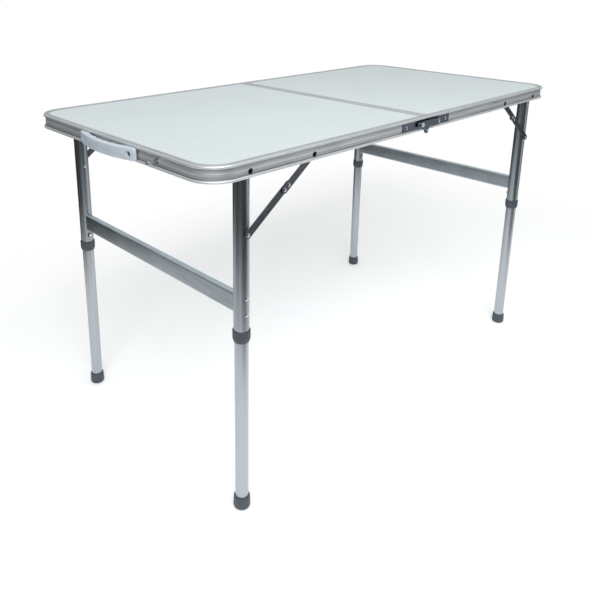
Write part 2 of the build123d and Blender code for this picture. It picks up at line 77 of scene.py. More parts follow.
class Finish:
    """A procedural material: a Principled shader and the nodes that feed it."""

    def __init__(self, name, colour, metallic, roughness):
        self.material = bpy.data.materials.new(name)
        self.material.use_nodes = True
        self.tree = self.material.node_tree
        self.shader = self.tree.nodes["Principled BSDF"]
        self.fill(self.shader, {"Base Color": (*colour, 1.0), "Metallic": metallic, "Roughness": roughness})
        self.colour = tuple(colour)
        self.roughness = roughness
        self.coords = self.node("ShaderNodeTexCoord", {}, "Object")

    def fill(self, node, inputs):
        """Set a node's inputs to plain values, or link them to other nodes' outputs."""
        for key, value in inputs.items():
            if isinstance(value, bpy.types.NodeSocket):
                self.tree.links.new(value, node.inputs[key])
            else:
                node.inputs[key].default_value = value

    def node(self, kind, inputs, output=0):
        """Add a node, fill its inputs and return one of its outputs."""
        made = self.tree.nodes.new(kind)
        self.fill(made, inputs)
        return made.outputs[output]

    def grain(self, per_metre, detail=2.0, rough=0.5, coords=None):
        """Noise with so many cells per metre, or with a number for each axis so that it is drawn out."""
        scale = np.broadcast_to(per_metre, 3).tolist()
        stretched = self.node("ShaderNodeMapping", {"Vector": coords or self.coords, "Scale": scale})
        return self.node(
            "ShaderNodeTexNoise",
            {"Vector": stretched, "Scale": 1.0, "Detail": detail, "Roughness": rough},
        )

    def span(self, value, low, high, start=NOISE_LOW, end=NOISE_HIGH):
        """Carry a value from the range start..end to the range low..high."""
        return self.node(
            "ShaderNodeMapRange",
            {"Value": value, "From Min": start, "From Max": end, "To Min": low, "To Max": high},
        )

    def math(self, operation, a, b=0.0):
        """One operation on two values."""
        result = self.node("ShaderNodeMath", {0: a, 1: b})
        result.node.operation = operation
        return result

    def blend(self, a, b, share):
        """Sum of a share of one value and the rest of another."""
        return self.math("ADD", self.math("MULTIPLY", a, share), self.math("MULTIPLY", b, 1.0 - share))

    def tint(self, value, darker, lighter, start=NOISE_LOW, end=NOISE_HIGH):
        """Base colour between two shares of the finish's own colour, by a value."""
        factor, dark, light, result = colour_mix(self.tree)
        self.tree.links.new(self.span(value, 0.0, 1.0, start, end), factor)
        for socket, share in ((dark, darker), (light, lighter)):
            socket.default_value = (*(min(1.0, c * share) for c in self.colour), 1.0)
        self.fill(self.shader, {"Base Color": result})

    def gloss(self, value, change):
        """Roughness that varies by a value round the finish's own."""
        low, high = self.roughness - change, self.roughness + change
        self.fill(self.shader, {"Roughness": self.span(value, low, high)})

    def painted_light(self):
        """The value that a surface gives to each of its points, which sets its painted shade or painted
        highlight.
        """
        made = self.tree.nodes.new("ShaderNodeAttribute")
        made.attribute_name = "painted_light"
        return made.outputs["Fac"]

    def relief(self, height, strength, distance):
        """Bump of the surface by a height value, with its depth in metres."""
        bump = {"Strength": strength, "Distance": distance, "Height": height}
        self.fill(self.shader, {"Normal": self.node("ShaderNodeBump", bump)})


def laminate_finish(colour):
    """Pale laminate: a fine pebbled press texture with faint broad toning and handling marks."""
    finish = Finish("pale_laminate", colour, metallic=0.0, roughness=0.58)
    finish.fill(finish.shader, {"Specular IOR Level": 0.3})
    pebble = finish.grain(900.0, rough=0.6)
    handling = finish.grain((30.0, 60.0, 30.0), detail=4.0, rough=0.65)
    finish.tint(finish.grain(5.0, detail=3.0), darker=0.975, lighter=1.015)
    finish.gloss(handling, change=0.05)
    finish.relief(pebble, strength=0.25, distance=0.0001)
    return finish.material


def drawn_metal(name, colour, roughness, per_metre, contrast, bright=0.0):
    """Drawn or brushed aluminium: fine lines along its length over slow changes of tone.

    Where a surface is marked its colour is brighter by a share: a painted highlight, as on the crossbars'
    narrow upper and lower sides.
    """
    finish = Finish(name, colour, metallic=1.0, roughness=roughness)
    lines = finish.grain(per_metre, detail=3.0, rough=0.7)
    cloud = finish.grain((14.0, 14.0, 9.0), detail=3.0)
    both = finish.blend(lines, cloud, 0.65)
    # Painted highlight: marked points are lighter by the share given in bright
    reach = (NOISE_HIGH - NOISE_LOW) / 2 * bright / contrast
    tone = finish.math("ADD", both, finish.math("MULTIPLY", finish.painted_light(), reach)) if bright else both
    finish.tint(tone, 1.0 - contrast, 1.0 + contrast + bright, NOISE_LOW, NOISE_HIGH + reach)
    finish.gloss(both, change=0.06)
    finish.relief(lines, strength=0.05, distance=0.00008)
    return finish.material


def extruded_finish(name, colour, roughness):
    """Satin anodised extrusion: die lines along its own length, with painted shade and a duller gloss where
    it is marked.
    """
    finish = Finish(name, colour, metallic=0.78, roughness=roughness)
    along = finish.node("ShaderNodeUVMap", {})
    lines = finish.grain((2.5, 2600.0, 1.0), detail=3.0, rough=0.7, coords=along)
    cloud = finish.grain((9.0, 60.0, 1.0), detail=3.0, coords=along)
    # Painted shade: marked points are darkened
    shade = finish.math("MULTIPLY", finish.painted_light(), 0.55)
    tone = finish.math("SUBTRACT", finish.blend(lines, cloud, 0.6), shade)
    finish.tint(tone, darker=0.25, lighter=1.08, start=-0.1, end=0.66)
    finish.gloss(finish.math("SUBTRACT", 1.0, tone), change=0.07)
    finish.relief(lines, strength=0.1, distance=0.00006)
    return finish.material


def moulded_finish(name, colour, roughness):
    """Moulded plastic: a spark-eroded skin with slight flow marks."""
    finish = Finish(name, colour, metallic=0.0, roughness=roughness)
    skin = finish.grain(1400.0, rough=0.6)
    flow = finish.grain((40.0, 40.0, 90.0), detail=3.0)
    finish.tint(flow, darker=0.92, lighter=1.07)
    finish.gloss(flow, change=0.05)
    finish.relief(skin, strength=0.3, distance=0.00008)
    return finish.material


def plated_finish(name, colour, roughness, contrast):
    """Plated steel: cloudy passivation and small pits."""
    finish = Finish(name, colour, metallic=1.0, roughness=roughness)
    cloud = finish.grain(120.0, detail=4.0, rough=0.6)
    pits = finish.grain(900.0)
    finish.tint(cloud, 1.0 - contrast, 1.0 + contrast)
    finish.gloss(cloud, change=0.08)
    finish.relief(pits, strength=0.2, distance=0.00005)
    return finish.material


def dress(material, *nodes):
    """Give CAD nodes one finish."""
    for name in nodes:
        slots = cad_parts[name].data.materials
        slots.clear()
        slots.append(material)


# Surfaces

def grid_faces(rows, columns, wrap_rows, wrap_columns):
    """Corner numbers of the quads over a grid; a wrapped direction joins its last line to its first."""
    near = np.arange(rows if wrap_rows else rows - 1)[:, None]
    left = np.arange(columns if wrap_columns else columns - 1)[None, :]
    far = (near + 1) % rows
    right = (left + 1) % columns
    corners = (near * columns + left, far * columns + left, far * columns + right, near * columns + right)
    return np.stack(corners, axis=-1).reshape(-1, 4)


def enclosed(points, quads):
    """Six times the volume inside a surface, summed over its triangles; negative when it faces inwards."""
    a, b, c, d = (points[quads[:, k]] for k in range(4))
    return (np.cross(a, b) * c).sum() + (np.cross(a, c) * d).sum()


def surface(name, grid, material, wrap_rows=False, uv=None, painted_light=None):
    """Mesh object over a grid of points that is closed along its columns.

    Rows that don't wrap are closed by a flat cap at each end. uv has one more row and column where
    the grid wraps, so that a pattern runs on to the join. The last argument gives each point a value
    that says where the finish paints shade or highlight.
    """
    rows, columns = grid.shape[:2]
    points = grid.reshape(-1, 3)
    quads = grid_faces(rows, columns, wrap_rows, True)
    last = np.arange(columns) + (rows - 1) * columns
    caps = [] if wrap_rows else [np.arange(columns), last[::-1]]
    inwards = enclosed(points - points.mean(axis=0), quads) < 0
    if inwards:
        quads = quads[:, ::-1]
        caps = [cap[::-1] for cap in caps]
    mesh = bpy.data.meshes.new(name)
    mesh.from_pydata(points.tolist(), [], quads.tolist() + [cap.tolist() for cap in caps])
    if uv is not None:
        picked = grid_faces(rows + wrap_rows, columns + 1, False, False)
        picked = picked[:, ::-1] if inwards else picked
        loops = uv.reshape(-1, 2)[picked.ravel()]
        extra = np.zeros((columns * len(caps), 2))
        mesh.uv_layers.new(name="UVMap").data.foreach_set("uv", np.concatenate([loops, extra]).ravel())
    if painted_light is not None:
        mesh.attributes.new("painted_light", "FLOAT", "POINT").data.foreach_set("value", painted_light.ravel())
    mesh.shade_smooth()
    mesh.set_sharp_from_angle(angle=math.radians(35.0))
    mesh.materials.append(material)
    made = bpy.data.objects.new(name, mesh)
    bpy.context.scene.collection.objects.link(made)
    return made


def soften(corners, reach, steps=5):
    """Round a closed outline.

    Each corner becomes a parabola between the points that lie at a reach along its two sides, or at
    the largest share of a side where the reach is longer.
    """
    largest = 0.45
    corners = np.asarray(corners, float)
    touching = []
    for step in (1, -1):
        side = np.roll(corners, step, axis=0) - corners
        share = np.minimum(np.asarray(reach) / np.linalg.norm(side, axis=1), largest)
        touching.append(corners + side * share[:, None])
    start, end = (points[:, None] for points in touching)
    t = np.linspace(0.0, 1.0, steps)[None, :, None]
    curve = (1 - t) ** 2 * start + 2 * t * (1 - t) * corners[:, None] + t**2 * end
    return curve.reshape(-1, 2)


def arc(centre, radius, start, end, count):
    """Points on a circle from one angle in degrees to another."""
    angle = np.radians(np.linspace(start, end, count))
    return np.stack([centre[0] + radius * np.cos(angle), centre[1] + radius * np.sin(angle)], axis=-1)


def bell(distance, width):
    """Bell curve: 1 where the distance is nothing, 1/e at the half width."""
    return np.exp(-((distance / width) ** 2))


def turned(profile, place, count=64):
    """Surface of revolution: each (radius, height) of the profile swept round a vertical axis at place."""
    angle = np.arange(count) * (2 * np.pi / count)
    radius = profile[:, 0][:, None]
    height = np.broadcast_to(profile[:, 1][:, None], (len(profile), count))
    return np.stack(
        [place[0] + radius * np.cos(angle), place[1] + radius * np.sin(angle), height], axis=-1
    )


def way_along(points):
    """Way along a row of points from the first."""
    steps = np.linalg.norm(np.diff(points, axis=0), axis=1)
    return np.concatenate([[0.0], np.cumsum(steps)])


def laid_flat(along, section):
    """UV of a closed section carried along a path: the way along it and the way round the section."""
    around = way_along(np.concatenate([section, section[:1]]))
    return np.stack(np.meshgrid(along, around, indexing="ij"), axis=-1)


def middle_of(node):
    """Centre of a CAD node's box."""
    low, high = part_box(node)
    return (low + high) / 2


def radius_of(node):
    """Radius of an upright round CAD node, from its box."""
    low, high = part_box(node)
    return (high.x - low.x) / 2


def seat(piece, body, slot, *nodes):
    """Carry a piece on a body and let it stand for CAD nodes; the slot argument is not used."""
    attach(piece, body)
    if nodes:
        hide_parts(*nodes)


# Settings

def colour_setting(label, what, default):
    """A colour that a user may change."""
    return bpy.props.FloatVectorProperty(
        name=label, description=f"Colour of the {what}", default=default,
        subtype="COLOR", min=0.0, max=1.0,
    )


def length(label, description, millimetres):
    """A length that a user may change."""
    return bpy.props.FloatProperty(
        name=label, description=description, default=millimetres / 1000, unit="LENGTH", precision=5
    )


class FinishSettings(bpy.types.PropertyGroup):
    """Colours of the table's finishes."""

    laminate: colour_setting("Laminate", "table top", (0.70, 0.765, 0.78))
    trim: colour_setting("Edge trim", "bent aluminium trim", (0.82, 0.85, 0.875))
    upper_leg: colour_setting("Upper legs", "upper tubes", (0.32, 0.35, 0.375))
    lower_leg: colour_setting("Lower legs", "sliding tubes", (0.44, 0.475, 0.505))
    crossbar: colour_setting("Crossbars", "brushed crossbars", (0.30, 0.335, 0.36))
    moulding: colour_setting("Mouldings", "collars and feet", (0.055, 0.068, 0.082))
    brace: colour_setting("Braces", "brace links", (0.12, 0.13, 0.15))
    hinge: colour_setting("Hinges", "hinge leaves and levers", (0.10, 0.12, 0.15))
    rivet: colour_setting("Rivets", "bright rivets and pins", (0.62, 0.64, 0.66))
    stud: colour_setting("Closing stud", "zinc closing stud", (0.36, 0.39, 0.41))
    pivot: colour_setting("Pivots", "blackened pivot rivets", (0.03, 0.032, 0.036))
    handle: colour_setting("Handle", "moulded handle", (0.60, 0.67, 0.74))
    button: colour_setting("Buttons", "brass spring buttons", (0.85, 0.78, 0.60))
    # Near-black rings that paint the shaded gap round each spring button
    button_gap_shade: colour_setting("Button rings", "buttons' rings", (0.02, 0.02, 0.022))


class TrimSettings(bpy.types.PropertyGroup):
    """Section and bend of the edge trims, and section of the strips along the seam."""

    corner_radius: length("Corner radius", "Outer radius of the bent corners", 55.0)
    flange_width: length("Flange width", "Reach of the top flange over the panel", 13.0)
    flange_thickness: length("Flange thickness", "Thickness of the top flange", 1.2)
    wall_depth: length("Wall depth", "How far the wall stands back from the beads", 4.0)
    wall_thickness: length("Wall thickness", "Thickness of the wall", 1.4)
    top_bead: length("Top bead", "Radius of the half-round bead along the top", 3.0)
    bottom_bead: length("Bottom bead", "Radius of the half-round bead along the bottom", 2.5)
    cove: length("Cove", "Radius of the hollow under the top bead", 1.0)
    bottom_cove: length("Bottom cove", "Radius of the hollow over the bottom bead", 1.5)
    rib_rise: length("Rib rise", "Height of the soft rib along the wall", 0.5)
    rib_width: length("Rib width", "Half width of the soft rib along the wall", 2.4)
    groove_depth: length("Groove depth", "Depth of the grooves in flange and strips", 0.35)
    groove_width: length("Groove width", "Half width of a groove", 0.45)
    ledge_width: length("Ledge width", "Reach of the ledge under the panel", 5.0)
    panel_room: length("Panel room", "Height of the slot that holds the panel", 3.0)
    knuckle_notch: length("Knuckle notch", "Length of bead cut away at each hinge", 22.0)
    strip_wall: length("Strip wall", "Thickness of the strips along the seam", 1.2)
    strip_groove: length("Strip groove", "How far a strip's groove lies from its outer edge", 1.6)


class LegSettings(bpy.types.PropertyGroup):
    """Tubes, crossbars, collars and feet."""

    tube_wall: length("Tube wall", "Wall of the leg tubes", 1.1)
    crossbar_wall: length("Crossbar wall", "Wall of the crossbars", 1.2)
    crossbar_round: length("Crossbar rounding", "Rounding of the crossbars' long edges", 3.0)
    collar_taper: length("Collar taper", "Height of the taper under a collar", 6.0)
    collar_rim: length("Collar rim", "Rounding of a collar's upper rim", 1.4)
    foot_floor: length("Foot floor", "Thickness of a foot under its tube", 4.0)
    foot_edge: length("Foot edge", "Rounding of a foot's tread", 6.0)
    foot_groove: length("Foot groove", "Depth of the ring groove under a foot's rim", 0.5)
    button_room: length("Button room", "Gap between a spring button and its hole's edge", 0.15)
    # The ring round each button is painted shade for the gap in its hole
    ring_width: length("Button ring", "Width of the dark ring round a spring button", 1.9)
    ring_rise: length("Button ring rise", "How far the ring stands off its tube", 0.5)
    tail_radius: length("Rivet tail", "Radius of the brace rivets' tails inside the legs", 3.2)
    tail_rise: length("Rivet tail rise", "How far a rivet's tail stands off its tube", 1.3)


class HandleSettings(bpy.types.PropertyGroup):
    """Bow handle on the left end."""

    pad_length: length("Pad length", "Length of each end pad", 26.0)
    pad_thickness: length("Pad thickness", "Thickness of each end pad", 6.0)
    grip: length("Grip", "Thickness of the bow at its middle", 9.0)
    edge_round: length("Edge rounding", "Rounding of the handle's edges", 2.6)
    bump_radius: length("Bump radius", "Radius of the bumps between the fingers", 16.0)
    bump_rise: length("Bump rise", "Height of the bumps between the fingers", 2.2)
    recess_radius: length("Screw recess", "Radius of the recess round each screw", 4.8)
    bumps: bpy.props.IntProperty(
        name="Bumps", description="Number of bumps between the fingers", default=4, min=0
    )


class StageSettings(bpy.types.PropertyGroup):
    """Floor, light and camera."""

    floor: colour_setting("Floor", "plain floor", (0.93, 0.93, 0.93))
    floor_glow: bpy.props.FloatProperty(
        name="Floor glow", description="Light that the floor gives off, as if lit from below",
        default=0.3, subtype="FACTOR", min=0.0, max=1.0,
    )
    floor_middle: bpy.props.FloatVectorProperty(
        name="Floor middle", description="Middle of the floor", size=2, default=(0.025, 0.0), unit="LENGTH"
    )
    floor_reach: bpy.props.FloatVectorProperty(
        name="Floor reach", description="Half length and half width of the floor", size=2,
        default=(1.725, 1.2), unit="LENGTH",
    )
    floor_fade: length("Floor fade", "Width over which the floor's edges thin out", 450.0)
    camera_place: bpy.props.FloatVectorProperty(
        name="Camera place", description="Where the camera stands",
        default=(-1.1888, -1.03348, 0.98508), subtype="XYZ", unit="LENGTH",
    )
    camera_turn: bpy.props.FloatVectorProperty(
        name="Camera turn", description="Heading from +Y towards +X, tilt down and roll",
        default=tuple(math.radians(a) for a in (43.3709, 15.9173, 0.2987)),
        subtype="EULER", unit="ROTATION",
    )
    camera_lens: bpy.props.FloatProperty(
        name="Lens", description="Focal length on a 36 mm sensor", default=39.2394, unit="CAMERA"
    )
    camera_shift: bpy.props.FloatVectorProperty(
        name="Shift", description="Sideways and upward shift of the frame", size=2,
        default=(0.0625, -0.2297),
    )


# Table top

class TABLE_OT_laminate_panels(bpy.types.Operator):
    """Finish the two laminate panels of the table top"""

    bl_idname = "table.laminate_panels"
    bl_label = "Laminate panels"

    def execute(self, context):
        finish = laminate_finish(context.scene.table_finishes.laminate)
        dress(finish, *(f"{side}_panel" for side in SIDES))
        return {"FINISHED"}


def trim_section(trim, height):
    """Closed section of the trim as (depth from its outer face, drop from its top), and its painted shade
    at each point.

    It runs outwards over the grooved flange, round the top bead, down a cove and the ribbed wall,
    round the bottom bead, and back up inside past the ledge.  Grooves and rib are bell curves.
    """
    inner = trim.wall_depth + trim.wall_thickness
    chamfer, bead_gap, groove_places = 0.0004, 0.0002, (0.0042, 0.0066, 0.009)
    across = np.linspace(trim.flange_width - chamfer, trim.top_bead + bead_gap, 70)
    grooves = bell(across[:, None] - groove_places, trim.groove_width).sum(axis=1)
    flange = np.stack([across, trim.groove_depth * grooves], axis=-1)
    top = arc((trim.top_bead, trim.top_bead), trim.top_bead, -90.0, -270.0, 25)
    bead_low = 2 * trim.top_bead
    cove = arc((trim.wall_depth - trim.cove, bead_low + trim.cove), trim.cove, -90.0, 0.0, 7)[1:]
    bead_high = height - 2 * trim.bottom_bead
    down = np.linspace(bead_low + trim.cove, bead_high - trim.bottom_cove, 40)[1:-1]
    rib = bell(down - (bead_low + bead_high) / 2, trim.rib_width)
    wall = np.stack([trim.wall_depth - trim.rib_rise * rib, down], axis=-1)
    turn = (trim.wall_depth - trim.bottom_cove, bead_high - trim.bottom_cove)
    hollow = arc(turn, trim.bottom_cove, 0.0, 90.0, 8)[:-1]
    bottom = arc((trim.bottom_bead, height - trim.bottom_bead), trim.bottom_bead, -90.0, -270.0, 23)
    slot_low = trim.flange_thickness + trim.panel_room
    ledge_end = inner + trim.ledge_width
    ledge_low = slot_low + trim.flange_thickness
    inside = np.array([
        (inner, height), (inner, ledge_low), (ledge_end, ledge_low), (ledge_end, slot_low),
        (inner, slot_low), (inner, trim.flange_thickness), (trim.flange_width, trim.flange_thickness),
        (trim.flange_width, chamfer),
    ])
    # Painted shade: the flange's grooves by their bell curves, and by these shares the cove, the wall (less
    # on its rib, which stays lighter), the hollow and the inner faces
    cove_painted_shade, wall_painted_shade, inside_painted_shade = 1.2, 0.4, 0.6
    painted_light = [
        grooves, np.zeros(len(top)), np.full(len(cove), cove_painted_shade), wall_painted_shade * (1.0 - rib),
        np.ones(len(hollow)), np.zeros(len(bottom)), np.full(len(inside), inside_painted_shade),
    ]
    section = np.concatenate([flange, top, cove, wall, hollow, bottom, inside])
    return section, np.concatenate(painted_light)


def trim_stations(trim, low, high):
    """Places along the right half's outer line, their inward directions, and which lie in a notch.

    Front side, quarter circle, end, quarter circle, back side.
    """
    radius = trim.corner_radius
    bend = (high.x - radius, high.y - radius)
    side_x = np.array([low.x, trim.knuckle_notch, trim.knuckle_notch])
    quarter = np.radians(np.linspace(0.0, 90.0, 25))
    out = np.stack([np.sin(quarter), -np.cos(quarter)], axis=-1)
    front = np.stack([side_x, np.full(len(side_x), low.y)], axis=-1)
    first = (bend[0], -bend[1]) + radius * out
    half = np.concatenate([front, first])
    inward = np.concatenate([np.tile((0.0, 1.0), (len(side_x), 1)), -out])
    notched = np.arange(len(half)) < len(side_x) - 1
    flip = (1.0, -1.0)
    places = np.concatenate([half, half[::-1] * flip])
    return places, np.concatenate([inward, inward[::-1] * flip]), np.concatenate([notched, notched[::-1]])


def trim_grid(trim, low, high, side):
    """The section carried round the outer line; in a notch the bottom bead is pressed back to the wall."""
    height = high.z - low.z
    section, painted_light = trim_section(trim, height)
    places, inward, notched = trim_stations(trim, low, high)
    depth, drop = section.T
    margin = 0.0003
    cut = drop > height - 2 * trim.bottom_bead - margin
    pressed = np.where(cut, np.maximum(depth, trim.wall_depth), depth)
    depths = np.where(notched[:, None], pressed, depth)
    flat = places[:, None, :] + inward[:, None, :] * depths[..., None]
    heights = np.broadcast_to(high.z - drop, depths.shape)
    grid = np.stack([side * flat[..., 0], flat[..., 1], heights], axis=-1)
    return grid, laid_flat(way_along(places), section), np.broadcast_to(painted_light, depths.shape)


class TABLE_OT_edge_trims(bpy.types.Operator):
    """Bend the two edge trims round the halves"""

    bl_idname = "table.edge_trims"
    bl_label = "Edge trims"

    def execute(self, context):
        trim = context.scene.table_trim
        finish = extruded_finish("extruded_trim", context.scene.table_finishes.trim, 0.46)
        low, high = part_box("right_edge_trim")
        for side, sign in SIDES.items():
            grid, uv, painted_light = trim_grid(trim, low, high, sign)
            made = surface(f"{side}_trim_extrusion", grid, finish, uv=uv, painted_light=painted_light)
            seat(made, f"{side}_half", "trim_aluminium", f"{side}_edge_trim")
        return {"FINISHED"}


def strip_grid(trim, low, high, side):
    """C section carried along the seam.

    It runs over the grooved top, round the nose, down the web and back past the panel's slot.
    """
    width, depth = high.x - low.x, high.z - low.z
    wall, nose, chamfer = trim.strip_wall, 0.0006, 0.0003
    across = np.linspace(width - chamfer, nose, 60)
    groove = bell(across - width + trim.strip_groove, trim.groove_width)
    top = np.stack([across, trim.groove_depth * groove], axis=-1)
    turn = arc((nose, nose), nose, -90.0, -180.0, 7)[1:]
    slot_low = trim.flange_thickness + trim.panel_room
    inside = np.array([
        (0.0, depth), (wall, depth), (wall, slot_low + wall), (width, slot_low + wall), (width, slot_low),
        (wall, slot_low), (wall, trim.flange_thickness), (width, trim.flange_thickness), (width, chamfer),
    ])
    section = np.concatenate([top, turn, inside])
    # Painted shade in the strip's groove
    painted_light = np.concatenate([groove, np.zeros(len(turn) + len(inside))])
    ends = np.array([low.y, high.y])
    shape = (len(ends), len(section))
    x = np.broadcast_to(side * (low.x + section[:, 0]), shape)
    y = np.broadcast_to(ends[:, None], shape)
    z = np.broadcast_to(high.z - section[:, 1], shape)
    return np.stack([x, y, z], axis=-1), laid_flat(ends, section), np.broadcast_to(painted_light, shape)


class TABLE_OT_seam_strips(bpy.types.Operator):
    """Draw the strips along the seam"""

    bl_idname = "table.seam_strips"
    bl_label = "Seam strips"

    def execute(self, context):
        finish = extruded_finish("extruded_strip", context.scene.table_finishes.trim, 0.4)
        low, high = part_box("right_seam_strip")
        for side, sign in SIDES.items():
            grid, uv, painted_light = strip_grid(context.scene.table_trim, low, high, sign)
            made = surface(f"{side}_seam_edging", grid, finish, uv=uv, painted_light=painted_light)
            seat(made, f"{side}_half", "trim_aluminium", f"{side}_seam_strip")
        return {"FINISHED"}


# Legs

def button_hole(leg, legs):
    """Height and radius of the hole that a leg's spring button comes out of."""
    low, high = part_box(f"{leg}_spring_button")
    return (low.z + high.z) / 2, (high.z - low.z) / 2 + legs.button_room


def upper_tube_grid(node, wall, start, count=72):
    """Tube whose end is rounded across: at each angle its top is a circle of the tube's own radius.

    Rows go up the outer wall from the start height and down the inner one.
    """
    centre, outer = middle_of(node), radius_of(node)
    angle = np.arange(count) * (2 * np.pi / count)
    share = np.linspace(0.0, 1.0, 12)
    radius = np.repeat((outer, outer - wall), len(share))[:, None]
    rise = np.concatenate([share, share[::-1]])[:, None]
    x, y = radius * np.cos(angle), radius * np.sin(angle)
    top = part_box(node)[1].z - outer + np.sqrt(outer**2 - x**2)
    return np.stack([centre.x + x, centre.y + y, start + rise * (top - start)], axis=-1)


def lower_tube_profile(node, wall, end):
    """Wall of the sliding tube up to an end height, with eased edges, as (radius, height)."""
    outer, low = radius_of(node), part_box(node)[0].z
    corners = [(outer, low), (outer, end), (outer - wall, end), (outer - wall, low)]
    return soften(corners, wall / 3)


def pierced_tube_grid(node, wall, start, end, hole, count=96):
    """Length of tube with a round hole on its inner side: a C section carried up from start to end.

    The section's gap is the hole's chord at that height, so its lips part at the hole and meet above
    and below it.  The outer arc runs from lip to lip and the inner arc back, more finely near the lips.
    """
    centre, outer = middle_of(node), radius_of(node)
    inner_side = -math.copysign(1.0, centre.y)
    hole_height, hole_radius = hole
    turn = np.linspace(0.0, np.pi, 29)
    heights = np.concatenate([[start], hole_height - hole_radius * np.cos(turn), [end]])
    chord = np.sqrt(np.clip(hole_radius**2 - (heights - hole_height) ** 2, 0.0, None))[:, None]
    share = (1 - np.cos(np.linspace(0.0, np.pi, count))) / 2
    arcs = []
    for radius, shares in ((outer, share), (outer - wall, share[::-1])):
        lip = np.arcsin(chord / radius)
        angle = lip + shares * 2 * (np.pi - lip)
        x = centre.x + radius * np.sin(angle)
        y = centre.y + inner_side * radius * np.cos(angle)
        arcs.append(np.stack([x, y, np.broadcast_to(heights[:, None], x.shape)], axis=-1))
    return np.concatenate(arcs, axis=1)


def tube_pieces(name, plain, pierced, finish):
    """The plain length of a tube, and its end with the hole in the middle of it."""
    return surface(name, plain, finish, wrap_rows=True), surface(f"{name}_end", pierced, finish)


class TABLE_OT_leg_tubes(bpy.types.Operator):
    """Draw the upper and lower leg tubes"""

    bl_idname = "table.leg_tubes"
    bl_label = "Leg tubes"

    def execute(self, context):
        legs, finishes = context.scene.table_legs, context.scene.table_finishes
        lines = (700.0, 700.0, 5.0)
        upper = drawn_metal("upper_leg_aluminium", finishes.upper_leg, 0.28, lines, contrast=0.05)
        lower = drawn_metal("lower_leg_aluminium", finishes.lower_leg, 0.33, lines, contrast=0.04)
        for leg, side in LEGS.items():
            hole = button_hole(leg, legs)
            node = f"{leg}_upper_tube"
            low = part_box(node)[0].z
            joint = 2 * hole[0] - low
            plain = upper_tube_grid(node, legs.tube_wall, joint)
            pierced = pierced_tube_grid(node, legs.tube_wall, low, joint, hole)
            for made in tube_pieces(f"{leg}_upper_leg", plain, pierced, upper):
                seat(made, f"{side}_leg_frame", "upper_leg_aluminium", node)
            node = f"{leg}_lower_tube"
            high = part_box(node)[1].z
            joint = 2 * hole[0] - high
            plain = turned(lower_tube_profile(node, legs.tube_wall, joint), middle_of(node), 72)
            pierced = pierced_tube_grid(node, legs.tube_wall, joint, high, hole)
            for made in tube_pieces(f"{leg}_lower_leg", plain, pierced, lower):
                seat(made, f"{leg}_lower_leg", "lower_leg_aluminium", node)
        return {"FINISHED"}


def crossbar_grid(node, tube, legs):
    """Rounded box section carried along Y, outside and back inside, its ends coped to the leg tubes.

    An end at sideways place x lies where the tube's circle is: the tube's centre less a chord.  The
    narrow upper and lower sides get a painted highlight, from none where the rounding starts to all at the
    side.
    """
    low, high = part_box(node)
    centre = middle_of(node)
    half = np.array([(high.x - low.x) / 2, (high.z - low.z) / 2])
    radius = radius_of(tube) + TUBE_FIT
    axis = abs(middle_of(tube).y)
    box = np.array([(-1, -1), (1, -1), (1, 1), (-1, 1)], float)
    arc_reach = 1.4
    rounding = legs.crossbar_round * arc_reach
    outline = soften(box * half, rounding, 9)
    bore = soften(box * (half - legs.crossbar_wall), rounding - legs.crossbar_wall * arc_reach, 9)
    share = np.linspace(-1.0, 1.0, 9)
    grids = []
    for section, shares in ((outline, share), (bore, share[::-1])):
        reach = axis - np.sqrt(radius**2 - section[:, 0] ** 2)
        y = shares[:, None] * reach
        x = np.broadcast_to(centre.x + section[:, 0], y.shape)
        z = np.broadcast_to(centre.z + section[:, 1], y.shape)
        grids.append(np.stack([x, y, z], axis=-1))
    grid = np.concatenate(grids)
    # Share of painted highlight on the narrow upper and lower sides
    painted_light = np.clip(1 - (half[1] - np.abs(outline[:, 1])) / rounding, 0.0, 1.0)
    return grid, np.broadcast_to(painted_light, grid.shape[:2])


class TABLE_OT_crossbars(bpy.types.Operator):
    """Draw the two brushed crossbars"""

    bl_idname = "table.crossbars"
    bl_label = "Crossbars"

    def execute(self, context):
        legs = context.scene.table_legs
        colour = context.scene.table_finishes.crossbar
        lines = (420.0, 9.0, 420.0)
        # bright paints a highlight on the crossbars' narrow upper and lower sides
        brushed = drawn_metal("brushed_crossbar", colour, 0.32, lines, contrast=0.36, bright=1.3)
        for side in SIDES:
            grid, painted_light = crossbar_grid(f"{side}_crossbar", f"front_{side}_upper_tube", legs)
            made = surface(f"{side}_brushed_crossbar", grid, brushed, wrap_rows=True, painted_light=painted_light)
            seat(made, f"{side}_leg_frame", "crossbar_aluminium", f"{side}_crossbar")
        return {"FINISHED"}


def collar_profile(node, tube, slide, legs):
    """Cup round the joint of two tubes: rounded rim, straight skirt and a taper to the lower tube.

    tube and slide are the radii of its bores for the upper and the lower tube.
    """
    low, high = (corner.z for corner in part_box(node))
    outer = radius_of(node)
    seat_height = low + 0.006
    lip, bend, mouth, eased = 0.0012, 0.004, 0.0006, 0.0002
    corners = [
        (slide, low), (slide + lip, low), (outer, low + legs.collar_taper), (outer, high),
        (tube, high), (tube, seat_height), (slide, seat_height),
    ]
    return soften(corners, [eased, lip, bend, legs.collar_rim, mouth, eased, eased], 7)


